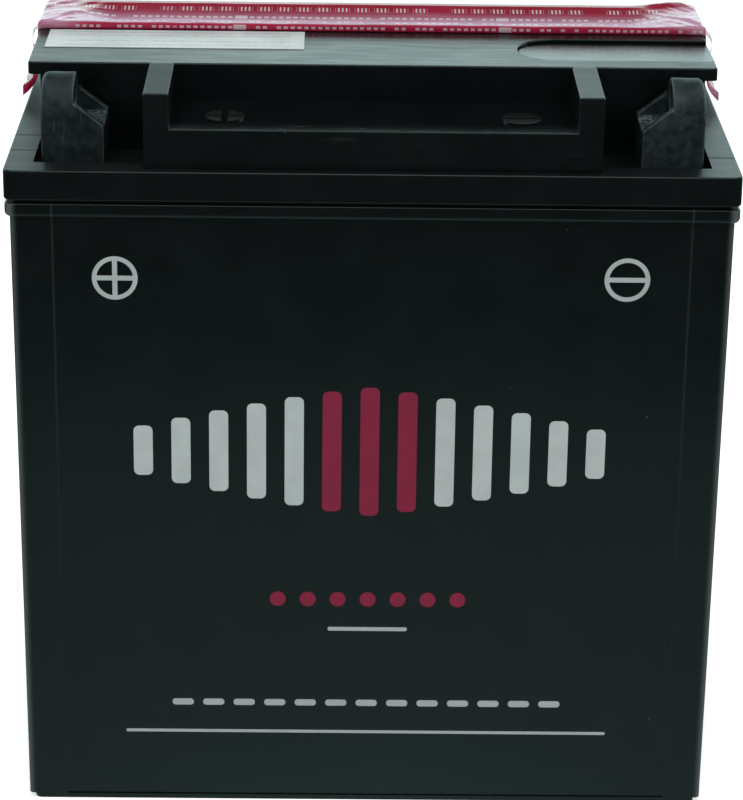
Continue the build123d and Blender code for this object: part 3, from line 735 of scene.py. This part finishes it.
def grid(name, columns, rows, place):
    """A mesh over a grid of places, from -1 to 1 along and from 0 to 1 across."""
    mesh = bpy.data.meshes.new(name)
    shares = [(2 * i / columns - 1, j / rows) for j in range(rows + 1) for i in range(columns + 1)]
    first = [j * (columns + 1) + i for j in range(rows) for i in range(columns)]
    corners = [(k, k + 1, k + columns + 2, k + columns + 1) for k in first]
    mesh.from_pydata([place(*share) * MM for share in shares], [], corners)
    return mesh, shares


def make_film():
    """The crimson sheet on the trough's lip, with its fold, its end flaps and its clear loops."""
    half = FILM_LENGTH / 2
    mesh, shares = grid(
        "sealing_sheet", *FILM_GRID,
        lambda along, across: film_place(along * half, across * FILM_WIDTH),
    )
    cut = mesh.attributes.new("cut", "FLOAT_VECTOR", "POINT")
    for number, (along, across) in enumerate(shares):
        cut.data[number].vector = (along * half * MM, across * FILM_WIDTH * MM, 0)
    sheet = place_piece("sealing_sheet", mesh, film_material(), "film")
    thicken(sheet, FILM_THICK)
    edges = make_clear_loops()
    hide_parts("sealing_film")


def make_clear_loops():
    """The clear margin's loops, which stand off the deck's ends."""
    shape = bmesh.new()
    for side in (-1, 1):
        path = smooth_path([Vector((side * x, y, z)) for x, y, z in LOOP_LINE], LOOP_STEPS)
        rows = []
        for point in path:
            lifts = [Vector((0, LOOP_LEAN * lift, lift)) for lift in (-LOOP_HALF, 0.0, LOOP_HALF)]
            rows.append([shape.verts.new((point + lift) * MM) for lift in lifts])
        for a, b in zip(rows, rows[1:]):
            for j in range(2):
                shape.faces.new((a[j], b[j], b[j + 1], a[j + 1]))
    mesh = from_bmesh("clear_loops", shape)
    piece = place_piece("clear_loops", mesh, clear_film(), "film")
    thicken(piece, LOOP_THICK)
    return piece


def smooth_path(points, steps):
    """Points on a Catmull-Rom curve through the ones given."""
    ends = [2 * points[0] - points[1]] + list(points) + [2 * points[-1] - points[-2]]
    path = []
    for a, b, c, d in zip(ends, ends[1:], ends[2:], ends[3:]):
        for t in (k / steps for k in range(steps)):
            squared = (2 * a - 5 * b + 4 * c - d) * t * t
            cubed = (3 * b - a - 3 * c + d) * t**3
            path.append(0.5 * (2 * b + (c - a) * t + squared + cubed))
    return path + [points[-1]]


class Print:
    """Flat inked shapes that follow the case's front panel."""

    def __init__(self):
        shape = bmesh.new()
        shape.from_mesh(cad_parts["case"].data)
        self.tree = BVHTree.FromBMesh(shape)
        shape.free()

    def touch(self, x, z):
        """The point and normal of the front at a place in millimetres."""
        start = Vector((x, -200.0, z)) * MM
        point, normal, _, _ = self.tree.ray_cast(start, Vector((0, 1, 0)))
        return point, normal

    def row(self, shape, outline):
        """An outline's vertices, laid on the front."""
        row = []
        for x, z in outline:
            point, normal = self.touch(x, z)
            row.append(shape.verts.new(point + normal * INK_PROUD * MM))
        return row

    def shape(self, name, outlines, material):
        """One piece of several closed outlines: an outer one, and an inner one or None."""
        shape = bmesh.new()
        for outer, inner in outlines:
            rows = [self.row(shape, outer)]
            if inner:
                rows.append(self.row(shape, inner))
                count = len(outer)
                for k in range(count):
                    n = (k + 1) % count
                    shape.faces.new((rows[0][k], rows[0][n], rows[1][n], rows[1][k]))
            else:
                shape.faces.new(rows[0])
        bmesh.ops.recalc_face_normals(shape, faces=shape.faces)
        for face in shape.faces:
            if face.normal.y > 0:
                face.normal_flip()
        piece = place_piece(name, from_bmesh(name, shape), material, smooth=False)
        thicken(piece, 2 * INK_PROUD)
        return piece


def turned(x, z, radius, angle):
    """A point at an angle on a circle."""
    return x + radius * math.cos(angle), z + radius * math.sin(angle)


def circle(x, z, radius, count=72):
    """A circle's outline."""
    return [turned(x, z, radius, 2 * math.pi * k / count) for k in range(count)]


def arc(x, z, radius, half, middle, count=4):
    """The part of a circle that is as wide as a bar of half-width half, round an angle."""
    reach = math.asin(half / radius)
    return [turned(x, z, radius, middle + reach * (2 * k / count - 1)) for k in range(count + 1)]


def bar(x, z, width, height, corner, count=8):
    """A rounded rectangle's outline round its centre."""
    outline = []
    for number, (sx, sz) in enumerate(((1, 1), (-1, 1), (-1, -1), (1, -1))):
        cx, cz = x + sx * (width / 2 - corner), z + sz * (height / 2 - corner)
        for k in range(count + 1):
            outline.append(turned(cx, cz, corner, math.pi / 2 * (number + k / count)))
    return outline


def mark_outlines(x, z, upright):
    """A ring with a bar across it, and an upright bar where it is a plus."""
    across = [arc(x, z, MARK_INNER, MARK_HALF_BAR, angle) for angle in (0.0, math.pi)]
    outlines = [(circle(x, z, MARK_RADIUS), circle(x, z, MARK_INNER))]
    outlines.append((across[0] + across[1], None))
    for way in (-1, 1) if upright else ():
        half = way * MARK_HALF_BAR
        end = arc(x, z, MARK_INNER, MARK_HALF_BAR, way * math.pi / 2)
        outlines.append(([(x - half, z + half), (x + half, z + half)] + end, None))
    return outlines


def make_prints():
    """The polarity marks and a plain symmetrical ornament on the case's front."""
    printer = Print()
    grey = ink("grey_ink", *INK_GREY)
    pale = ink("pale_ink", *INK_PALE)
    crimson = ink("crimson_ink", *INK_CRIMSON)
    for name, x, z in MARKS:
        printer.shape(name, mark_outlines(x, z, name == "plus_mark"), grey)
    bars = {}
    for k in range(-BAR_COUNT, BAR_COUNT + 1):
        tall = BAR_TALL - BAR_FALL * abs(k) ** 1.25
        bars[k] = (bar(BAR_PITCH * k, BAR_Z, BAR_WIDTH, tall, BAR_CORNER), None)
    printer.shape("ornament_bars", [bars[k] for k in bars if abs(k) > 1], pale)
    printer.shape("ornament_middle_bars", [bars[k] for k in bars if abs(k) <= 1], crimson)
    dots = [
        (circle(DOT_PITCH * k, DOT_Z, DOT_RADIUS, 40), None)
        for k in range(-DOT_COUNT, DOT_COUNT + 1)
    ]
    printer.shape("ornament_dots", dots, crimson)
    rules = [(bar(*SHORT_RULE), None), (bar(*LONG_RULE), None)]
    for k in range(-DASH_COUNT, DASH_COUNT + 1):
        rules.append((bar(DASH_PITCH * k, *DASH_RULE), None))
    printer.shape("ornament_rules", rules, grey)


def make_camera():
    """Places the camera, looking along +Y and down."""
    pitch, yaw, roll = (math.radians(a) for a in (CAMERA_PITCH, CAMERA_YAW, CAMERA_ROLL))
    forward = Vector((
        math.sin(yaw) * math.cos(pitch), math.cos(yaw) * math.cos(pitch), -math.sin(pitch)
    ))
    level = Vector((math.cos(yaw), -math.sin(yaw), 0))
    up = level.cross(forward)
    right = level * math.cos(roll) + up * math.sin(roll)
    top = up * math.cos(roll) - level * math.sin(roll)
    data = bpy.data.cameras.new("camera")
    data.lens = CAMERA_LENS
    data.sensor_fit = "HORIZONTAL"
    data.clip_start = 0.01
    camera = bpy.data.objects.new("camera", data)
    axes = Matrix((right, top, -forward)).transposed()
    camera.matrix_world = Matrix.Translation(Vector(CAMERA_PLACE) * MM) @ axes.to_4x4()
    bpy.context.scene.collection.objects.link(camera)
    bpy.context.scene.camera = camera


def make_floor():
    """A pale floor that the camera sees as white, with its own brightness in gloss: brighter
    round the object's foot, and dim far off."""
    shape = bmesh.new()
    bmesh.ops.create_circle(shape, cap_ends=True, radius=FLOOR_RADIUS, segments=96)
    mesh = from_bmesh("floor", shape)
    floor = bpy.data.objects.new("floor", mesh)
    bpy.context.scene.collection.objects.link(floor)
    surface = Surface("floor")
    surface.set(Base_Color=(0.80, 0.80, 0.80), Roughness=0.9, Specular_IOR_Level=0.1)
    path = surface.add("ShaderNodeLightPath").outputs
    seen = surface.calc("MAXIMUM", path["Is Camera Ray"], path["Is Transmission Ray"])
    lit = surface.made("ShaderNodeAddShader", 0, {
        0: surface.shader.outputs[0], 1: surface.glow(WHITE, surface.times(seen, FLOOR_GLOW)),
    })
    far = surface.made("ShaderNodeVectorMath", "Value", {0: surface.place}, operation="LENGTH")
    near = surface.calc("EXPONENT", surface.times(far, -1 / FLOOR_FOOT))
    rise = FLOOR_FOOT_GLOSS * math.exp(FLOOR_FOOT_START / FLOOR_FOOT)
    pool = surface.calc("MINIMUM", surface.times(near, rise), FLOOR_FOOT_GLOSS)
    strength = surface.times(
        surface.calc("ADD", pool, FLOOR_GLOSS), surface.step(far, *FLOOR_EDGE, 1.0, FLOOR_FAR_SHARE)
    )
    mirrored = surface.glow(GLOSS_TINT, strength)
    both = surface.made("ShaderNodeMixShader", 0, {0: path["Is Glossy Ray"], 1: lit, 2: mirrored})
    surface.join(surface.tree.nodes["Material Output"].inputs["Surface"], both)
    mesh.materials.append(surface.material)


def make_world():
    """A white room that is seen as white and lights the object softly. Gloss shows a bright
    band low behind the object, and the rest dim."""
    world = bpy.data.worlds.new("world")
    bpy.context.scene.world = world
    world.use_nodes = True
    nodes = Nodes(world.node_tree)
    path = nodes.add("ShaderNodeLightPath").outputs
    _, y, z = nodes.split(nodes.add("ShaderNodeTexCoord").outputs["Generated"])
    band = nodes.times(nodes.step(z, *BAND_TOP, 1.0, 0.0), nodes.step(y, *BAND_SIDE))
    gloss = nodes.step(band, 0.0, 1.0, DIM_GLOSS, BAND_GLOSS)
    light = nodes.step(path["Is Diffuse Ray"], 0.0, 1.0, 1.0, WORLD_LIGHT)
    back = nodes.tree.nodes["Background"]
    nodes.join(back.inputs["Color"], nodes.blend(path["Is Glossy Ray"], WHITE, GLOSS_TINT))
    nodes.join(back.inputs["Strength"], nodes.mix(path["Is Glossy Ray"], light, gloss))


def make_lamp(name, place, target, size, power):
    """A rectangular lamp that looks at a target. Lengths are in metres."""
    data = bpy.data.lights.new(name, "AREA")
    data.shape = "RECTANGLE"
    data.size, data.size_y = size
    data.energy = power
    lamp = bpy.data.objects.new(name, data)
    lamp.location = place
    lamp.rotation_euler = (Vector(target) - Vector(place)).to_track_quat("-Z", "Y").to_euler()
    bpy.context.scene.collection.objects.link(lamp)


def dress_inside():
    """Materials for the inner pieces, by what their names end with."""
    lead = grainy("strap_lead", (0.055, 0.060, 0.065), (0.14, 0.15, 0.155), 0.6, 0.5, 0.15, 0.5)
    rubber = grainy("rubber", (0.006, 0.006, 0.006), (0.018, 0.018, 0.018), 0.3, 0.6, 0.04)
    porous = grainy("porous_disc", (0.30, 0.29, 0.27), (0.62, 0.60, 0.56), 0.3, 0.85, 0.2)
    brown = grainy("positive_paste", (0.045, 0.018, 0.010), (0.11, 0.050, 0.028), 0.5, 0.8, 0.15)
    slate = grainy("negative_paste", (0.085, 0.090, 0.095), (0.20, 0.21, 0.22), 0.5, 0.75, 0.15)
    mat = grainy("glass_mat", (0.52, 0.53, 0.52), (0.80, 0.81, 0.80), 0.4, 0.9, 0.12)
    endings = {
        "positive_plates": brown, "negative_plates": slate, "separators": mat,
        "strap": lead, "post": lead, "welds": lead,
        "seal": rubber, "valve": rubber, "arrestor": porous,
    }
    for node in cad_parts:
        for ending, material in endings.items():
            if node.endswith(ending):
                dress(node, material)


make_camera()
make_floor()
make_world()
make_lamp("top_lamp", place=(0.0, -0.25, 1.1), target=(0, 0, 0.1), size=(1.2, 1.0), power=5.0)
bpy.context.scene.view_settings.view_transform = "Standard"

dress("case", plastic("case_plastic", scuffs=0.4, rough=0.24, recolour=painted_case_highlights))
dress("cover", plastic("cover_plastic", scuffs=1.0, rough=0.24, regloss=cover_gloss))
dress("vent_cover_plate", plastic("plate_plastic", scuffs=1.0, rough=0.245))
dress("data_label", label_paper())
dress_inside()
left_lead = cast_lead("lead_left", *LEAD_LEFT, patches=0.3)
right_lead = cast_lead("lead_right", *LEAD_RIGHT, patches=0.6)
worn_copy("terminal_positive", "positive_casting", left_lead, soften=2, lumps=0.035, seed=4)
worn_copy("terminal_negative", "negative_casting", right_lead, soften=3, lumps=0.06, seed=9)
make_film()
make_prints()
